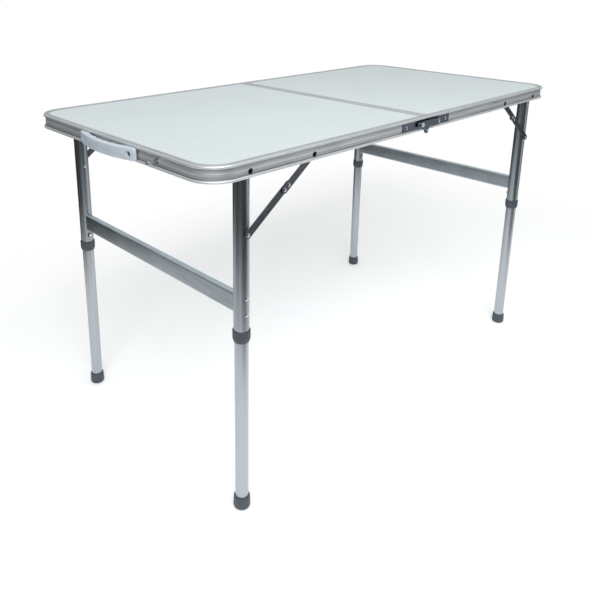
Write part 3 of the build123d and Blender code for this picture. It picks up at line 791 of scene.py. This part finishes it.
def foot_profile(node, socket, legs):
    """Open profile of a foot from its tread to the floor of its socket.

    The skirt draws in with the square of its height, and a bell-shaped ring groove runs under the rim.
    """
    low, high = (corner.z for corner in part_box(node))
    outer = radius_of(node)
    edge = legs.foot_edge
    draft, rim_round, groove_drop, groove_width = 0.0011, 0.0012, 0.0052, 0.0007
    tread = arc((outer - edge, low + edge), edge, -90.0, 0.0, 12)
    rise = np.linspace(low + edge, high - 1.25 * rim_round, 40)[1:]
    share = (rise - low - edge) / (high - low - edge)
    groove = bell(rise - high + groove_drop, groove_width)
    skirt = np.stack([outer - draft * share**2 - legs.foot_groove * groove, rise], axis=-1)
    rim = arc((skirt[-1, 0] - rim_round, high - rim_round), rim_round, 0.0, 90.0, 6)[1:]
    inside = np.array([(socket, high), (socket, low + legs.foot_floor)])
    return np.concatenate([tread, skirt, rim, inside])


class TABLE_OT_mouldings(bpy.types.Operator):
    """Mould the collars and feet"""

    bl_idname = "table.mouldings"
    bl_label = "Collars and feet"

    def execute(self, context):
        legs = context.scene.table_legs
        plastic = moulded_finish("slate_moulding", context.scene.table_finishes.moulding, 0.5)
        for leg, side in LEGS.items():
            tube = radius_of(f"{leg}_upper_tube") + TUBE_FIT
            slide = radius_of(f"{leg}_lower_tube") + TUBE_FIT
            place = middle_of(f"{leg}_lower_tube")
            profile = collar_profile(f"{side}_collars", tube, slide, legs)
            made = surface(f"{leg}_collar", turned(profile, place), plastic, wrap_rows=True)
            seat(made, f"{side}_leg_frame", "moulded_plastic", f"{side}_collars")
            profile = foot_profile(f"{leg}_foot", slide, legs)
            made = surface(f"{leg}_foot_cap", turned(profile, place), plastic)
            seat(made, f"{leg}_lower_leg", "moulded_plastic", f"{leg}_foot")
        return {"FINISHED"}


class TABLE_OT_braces(bpy.types.Operator):
    """Finish the brace links"""

    bl_idname = "table.braces"
    bl_label = "Brace links"

    def execute(self, context):
        steel = plated_finish("brace_steel", context.scene.table_finishes.brace, 0.36, contrast=0.2)
        links = ("brace_upper_link", "brace_lower_link")
        dress(steel, *(f"{leg}_{link}" for leg in LEGS for link in links))
        return {"FINISHED"}


# Fittings

class TABLE_OT_hinges(bpy.types.Operator):
    """Finish the hinge leaves, lock levers and closing hook"""

    bl_idname = "table.hinges"
    bl_label = "Hinges and locks"

    def execute(self, context):
        zinc = plated_finish("hinge_zinc", context.scene.table_finishes.hinge, 0.24, contrast=0.15)
        levers = [f"{row}_lock_lever" for row in ROWS]
        dress(zinc, *(f"{leg}_hinge_leaf" for leg in LEGS), *levers, "closing_hook")
        return {"FINISHED"}


def on_tube(tube, height, radius, rise):
    """Points on a tube's inner side: a polar pattern about a height, laid on the tube and lifted off it.

    radius and rise are grids over (angle, place across); a point's depth is the chord of the tube there.
    """
    centre = middle_of(tube)
    angle = np.arange(len(radius))[:, None] * (2 * np.pi / len(radius))
    x, z = radius * np.cos(angle), radius * np.sin(angle)
    reach = np.sqrt(radius_of(tube) ** 2 - x**2) + rise
    return np.stack([centre.x + x, centre.y - math.copysign(1.0, centre.y) * reach, height + z], axis=-1)


def tail_grid(tube, height, legs, count=40):
    """Dome of a rivet's tail: its rise falls with the square of the distance from its middle."""
    share = np.linspace(1.0, 0.03, 12)
    rise = legs.tail_rise * (1 - share**2) - SUNK * (share == 1.0)
    shape = (count, len(share))
    radius = np.broadcast_to(legs.tail_radius * share, shape)
    return on_tube(tube, height, radius, np.broadcast_to(rise, shape)).transpose(1, 0, 2)


class TABLE_OT_rivets(bpy.types.Operator):
    """Finish the rivets, pins, studs and screws"""

    bl_idname = "table.rivets"
    bl_label = "Rivets and pins"

    def execute(self, context):
        finishes = context.scene.table_finishes
        bright = plated_finish("bright_rivet", finishes.rivet, 0.24, contrast=0.08)
        black = plated_finish("black_pivot", finishes.pivot, 0.22, contrast=0.2)
        kinds = ("hinge_rivets", "crossbar_rivets", "brace_leg_rivets")
        dress(bright, *(f"{side}_{kind}" for side in SIDES for kind in kinds))
        dress(bright, *(f"{leg}_elbow_rivets" for leg in LEGS))
        dress(bright, "hinge_pins", "lock_studs", "lock_pivots", "closing_hook_rivet")
        dress(plated_finish("stud_zinc", finishes.stud, 0.3, contrast=0.12), "closing_stud")
        dress(black, *(f"{side}_pivot_rivets" for side in SIDES), "handle_screws")
        for leg, side in LEGS.items():
            height = middle_of(f"{side}_brace_leg_rivets").z
            grid = tail_grid(f"{leg}_upper_tube", height, context.scene.table_legs)
            seat(surface(f"{leg}_rivet_tail", grid, bright), f"{side}_leg_frame", "rivet_steel")
        return {"FINISHED"}


def handle_faces(handle, half, bulge, y):
    """Outer and inner faces of the bow, as distances from the end wall at each place y along it.

    The outer face is a circle through the pads' ends and the bulge; the inner one is a parabola over
    the finger gap, less a circle's cap for each bump.
    """
    sagitta = bulge - handle.pad_thickness
    radius = (half**2 + sagitta**2) / (2 * sagitta)
    outer = bulge - radius + np.sqrt(radius**2 - y**2)
    gap = half - handle.pad_length
    depth = bulge - handle.grip
    inner = depth * np.clip(1 - (y / gap) ** 2, 0.0, None)
    places = (np.arange(handle.bumps) - (handle.bumps - 1) / 2) * (2 * gap / (handle.bumps + 2))
    span = np.clip(handle.bump_radius**2 - (y[:, None] - places) ** 2, 0.0, None)
    caps = np.sqrt(span) - handle.bump_radius + handle.bump_rise
    return outer, np.clip(inner - np.clip(caps, 0.0, None).max(axis=1), 0.0, None)


def handle_grid(handle, low, high, screw_y):
    """Rounded section carried along the bow: x from inner to outer face, z over the handle's height.

    Near its ends the section draws in by a quarter circle, and round each screw the outer face sinks
    to the pad's thickness.
    """
    half, tall = (high.y - low.y) / 2, (high.z - low.z) / 2
    middle_y, middle_z = (high.y + low.y) / 2, (high.z + low.z) / 2
    bulge = high.x - low.x
    edge = handle.edge_round
    end_share, inner_share, slope, least_wall = 0.9, 0.6, 0.0008, 0.001
    ends = half - edge * (1 - np.sin(np.linspace(0.0, np.pi / 2, 9)))[::-1]
    body = np.linspace(-half + edge, half - edge, 331)[1:-1]
    y = np.concatenate([-ends, body, ends[::-1]])
    outer, inner = handle_faces(handle, half, bulge, np.clip(y, -half + edge, half - edge))
    near_end = np.clip(np.abs(y) - half + edge, 0.0, edge)
    draw_in = edge - np.sqrt(np.clip(edge**2 - near_end**2, 0.0, None))
    draw_in = np.minimum(draw_in, edge * end_share)[:, None]
    corner = np.radians(np.linspace(0.0, 90.0, 8))
    flat = tall - edge
    level = np.linspace(-1.0, 1.0, 47)[1:-1] * flat
    upper = flat + edge * np.sin(corner)
    rounded = edge - edge * np.cos(corner)
    face_z = np.concatenate([-upper[::-1], level, upper])
    face_in = np.concatenate([rounded[::-1], np.zeros(len(level)), rounded])
    z = face_z[None, :] * (1 - draw_in / tall)
    out_x = outer[:, None] - face_in - draw_in
    in_x = inner[:, None] + inner_share * face_in
    far = np.minimum.reduce([np.hypot(y[:, None] - at, z) for at in screw_y])
    sink = np.clip((handle.recess_radius + slope - far) / slope, 0.0, 1.0)
    out_x = out_x - np.clip(out_x - handle.pad_thickness, 0.0, None) * sink
    x = np.concatenate([out_x, np.minimum(in_x, out_x - least_wall)[:, ::-1]], axis=1)
    zs = np.concatenate([z, z[:, ::-1]], axis=1)
    ys = np.broadcast_to(y[:, None], x.shape)
    return np.stack([high.x - x, middle_y + ys, middle_z + zs], axis=-1)


class TABLE_OT_handle(bpy.types.Operator):
    """Mould the carrying handle"""

    bl_idname = "table.handle"
    bl_label = "Carrying handle"

    def execute(self, context):
        handle = context.scene.table_handle
        plastic = moulded_finish("handle_plastic", context.scene.table_finishes.handle, 0.42)
        low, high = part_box("carry_handle")
        reach = (high.y - low.y) / 2 - handle.pad_length / 2
        made = surface("bow_handle", handle_grid(handle, low, high, (-reach, reach)), plastic)
        seat(made, "left_half", "handle_plastic", "carry_handle")
        return {"FINISHED"}


def ring_grid(leg, legs, count=56):
    """Near-black ring round a button that paints the shade of the gap in its hole: a softened box section
    carried round a circle on the tube.
    """
    height, bore = button_hole(leg, legs)
    rim = bore + legs.ring_width
    box = [(bore, -SUNK), (rim, -SUNK), (rim, legs.ring_rise), (bore, legs.ring_rise)]
    section = soften(box, legs.ring_rise / 2)
    shape = (count, len(section))
    radius, rise = (np.broadcast_to(column, shape) for column in section.T)
    return on_tube(f"{leg}_upper_tube", height, radius, rise)


class TABLE_OT_buttons(bpy.types.Operator):
    """Finish the spring buttons and ring their holes with painted shade"""

    bl_idname = "table.buttons"
    bl_label = "Spring buttons"

    def execute(self, context):
        finishes = context.scene.table_finishes
        brass = plated_finish("button_brass", finishes.button, 0.28, contrast=0.1)
        # Near-black plastic for the rings of painted gap shade
        plastic = moulded_finish("button_gap_shade", finishes.button_gap_shade, 0.4)
        dress(brass, *(f"{leg}_spring_button" for leg in LEGS))
        for leg, side in LEGS.items():
            grid = ring_grid(leg, context.scene.table_legs)
            made = surface(f"{leg}_button_gap_shade", grid, plastic, wrap_rows=True)
            seat(made, f"{side}_leg_frame", "moulded_plastic")
        return {"FINISHED"}


# Stage

# Brightness of the studio from straight down (0) over the horizon (0.5) to straight up (1)
SKY = ((0.0, 0.03), (0.46, 0.05), (0.55, 0.3), (0.64, 0.55), (0.8, 0.6), (1.0, 0.4))

# Share of that brightness in red
SKY_RED = 0.98

WHITE = (1.0, 1.0, 1.0, 1.0)

# Soft lights: name, place, what it is turned to, width and height, power, spread in degrees
LAMPS = (
    ("key_light", (-2.1, -2.3, 2.6), (0.0, 0.0, 0.6), (2.6, 2.4), 30.0, 120.0),
    ("front_panel", (1.6, -2.0, 0.12), (-0.4, -0.3, 0.68), (1.6, 0.9), 4.0, 180.0),
    ("top_light", (-0.3, -1.1, 2.3), (-0.1, 0.0, 0.7), (1.8, 1.2), 10.0, 150.0),
)


def floor_material(settings):
    """Plain pale floor with an upper side only, which thins out to nothing towards its edges."""
    finish = Finish("plain_floor", settings.floor, metallic=0.0, roughness=0.9)
    finish.tint(finish.grain(2.0), darker=0.995, lighter=1.0)
    finish.fill(finish.shader, {"Emission Color": WHITE, "Emission Strength": settings.floor_glow})
    shares = []
    for axis, middle, reach in zip("XY", settings.floor_middle, settings.floor_reach):
        place = finish.node("ShaderNodeSeparateXYZ", {"Vector": finish.coords}, axis)
        away = finish.math("ABSOLUTE", finish.math("SUBTRACT", place, middle))
        shares.append(finish.span(away, 1.0, 0.0, reach - settings.floor_fade, reach))
    upper = finish.math("SUBTRACT", 1.0, finish.node("ShaderNodeNewGeometry", {}, "Backfacing"))
    share = finish.math("MULTIPLY", finish.math("MULTIPLY", *shares), upper)
    clear = finish.node("ShaderNodeBsdfTransparent", {})
    mixed = finish.node("ShaderNodeMixShader", {0: share, 1: clear, 2: finish.shader.outputs[0]})
    finish.fill(finish.tree.nodes["Material Output"], {"Surface": mixed})
    return finish.material


def look_axes(forward):
    """Right, up and backward directions of a level view along forward."""
    right = np.cross(forward, (0.0, 0.0, 1.0))
    right = right / np.linalg.norm(right)
    return right, np.cross(right, forward), -forward


def area_light(name, place, target, size, energy, spread):
    """Soft light at a place, turned to a target, whose beam opens by an angle in degrees."""
    data = bpy.data.lights.new(name, "AREA")
    data.shape = "RECTANGLE"
    data.size, data.size_y = size
    data.energy = energy
    data.spread = math.radians(spread)
    lamp = bpy.data.objects.new(name, data)
    lamp.location = place
    lamp.visible_camera = False
    away = np.subtract(place, target)
    lamp.rotation_euler = Matrix(look_axes(-away / np.linalg.norm(away))).transposed().to_euler()
    bpy.context.scene.collection.objects.link(lamp)


class TABLE_OT_stage(bpy.types.Operator):
    """Lay the floor, set the soft light and place the camera"""

    bl_idname = "table.stage"
    bl_label = "Floor, light and camera"

    def execute(self, context):
        settings = context.scene.table_stage
        self.lay_floor(settings)
        self.set_light(context.scene)
        self.place_camera(context.scene, settings)
        return {"FINISHED"}

    def lay_floor(self, settings):
        """A flat rectangle under the table."""
        signs = np.array([(-1, -1, 0), (1, -1, 0), (1, 1, 0), (-1, 1, 0)])
        corners = (*settings.floor_middle, 0.0) + signs * (*settings.floor_reach, 0.0)
        mesh = bpy.data.meshes.new("floor")
        mesh.from_pydata(corners.tolist(), [], [(0, 1, 2, 3)])
        mesh.materials.append(floor_material(settings))
        floor = bpy.data.objects.new("floor", mesh)
        bpy.context.scene.collection.objects.link(floor)

    def set_light(self, scene):
        """A studio that looks white but lights the table by the brightness of its sky, and soft lights."""
        world = bpy.data.worlds.new("studio")
        scene.world = world
        world.use_nodes = True
        tree = world.node_tree
        split = tree.nodes.new("ShaderNodeSeparateXYZ")
        tree.links.new(tree.nodes.new("ShaderNodeTexCoord").outputs["Generated"], split.inputs[0])
        level = tree.nodes.new("ShaderNodeMapRange")
        level.inputs["From Min"].default_value = -1.0
        tree.links.new(split.outputs["Z"], level.inputs["Value"])
        ramp = tree.nodes.new("ShaderNodeValToRGB")
        tree.links.new(level.outputs[0], ramp.inputs["Fac"])
        stops = ramp.color_ramp.elements
        for place, _ in SKY[1:-1]:
            stops.new(place)
        for stop, (place, shade) in zip(stops, SKY):
            stop.position = place
            stop.color = (SKY_RED * shade, shade, shade, 1.0)
        factor, lit, seen, result = colour_mix(tree)
        tree.links.new(tree.nodes.new("ShaderNodeLightPath").outputs["Is Camera Ray"], factor)
        tree.links.new(ramp.outputs["Color"], lit)
        seen.default_value = WHITE
        tree.links.new(result, tree.nodes["Background"].inputs["Color"])
        for lamp in LAMPS:
            area_light(*lamp)
        scene.view_settings.view_transform = "Standard"

    def place_camera(self, scene, settings):
        """Camera with its heading, tilt and roll as three turns."""
        heading, tilt, roll = settings.camera_turn
        forward = np.array([
            math.sin(heading) * math.cos(tilt), math.cos(heading) * math.cos(tilt), -math.sin(tilt)
        ])
        right, up, back = look_axes(forward)
        rolled_right = math.cos(roll) * right + math.sin(roll) * up
        rolled_up = math.cos(roll) * up - math.sin(roll) * right
        data = bpy.data.cameras.new("camera")
        data.lens = settings.camera_lens
        data.shift_x, data.shift_y = settings.camera_shift
        data.clip_end = 100.0
        camera = bpy.data.objects.new("camera", data)
        stance = Matrix((rolled_right, rolled_up, back)).transposed().to_4x4()
        stance.translation = settings.camera_place
        camera.matrix_world = stance
        scene.collection.objects.link(camera)
        scene.camera = camera


OPERATORS = (
    TABLE_OT_laminate_panels,
    TABLE_OT_edge_trims,
    TABLE_OT_seam_strips,
    TABLE_OT_leg_tubes,
    TABLE_OT_crossbars,
    TABLE_OT_mouldings,
    TABLE_OT_braces,
    TABLE_OT_hinges,
    TABLE_OT_rivets,
    TABLE_OT_handle,
    TABLE_OT_buttons,
    TABLE_OT_stage,
)


class TABLE_PT_pieces(bpy.types.Panel):
    """Sidebar list of the table's pieces and stage"""

    bl_idname = "TABLE_PT_pieces"
    bl_label = "Folding camping table"
    bl_space_type = "VIEW_3D"
    bl_region_type = "UI"
    bl_category = "Camping table"

    def draw(self, context):
        for kind in OPERATORS:
            self.layout.operator(kind.bl_idname)


SETTINGS = {
    "table_finishes": FinishSettings,
    "table_trim": TrimSettings,
    "table_legs": LegSettings,
    "table_handle": HandleSettings,
    "table_stage": StageSettings,
}
CLASSES = (*SETTINGS.values(), *OPERATORS, TABLE_PT_pieces)


def register():
    for kind in CLASSES:
        bpy.utils.register_class(kind)
    for name, kind in SETTINGS.items():
        setattr(bpy.types.Scene, name, bpy.props.PointerProperty(type=kind))


def unregister():
    for name in SETTINGS:
        delattr(bpy.types.Scene, name)
    for kind in reversed(CLASSES):
        bpy.utils.unregister_class(kind)


def main():
    register()
    bpy.ops.table.laminate_panels()
    bpy.ops.table.edge_trims()
    bpy.ops.table.seam_strips()
    bpy.ops.table.leg_tubes()
    bpy.ops.table.crossbars()
    bpy.ops.table.mouldings()
    bpy.ops.table.braces()
    bpy.ops.table.hinges()
    bpy.ops.table.rivets()
    bpy.ops.table.handle()
    bpy.ops.table.buttons()
    bpy.ops.table.stage()


if __name__ == "__main__":
    main()
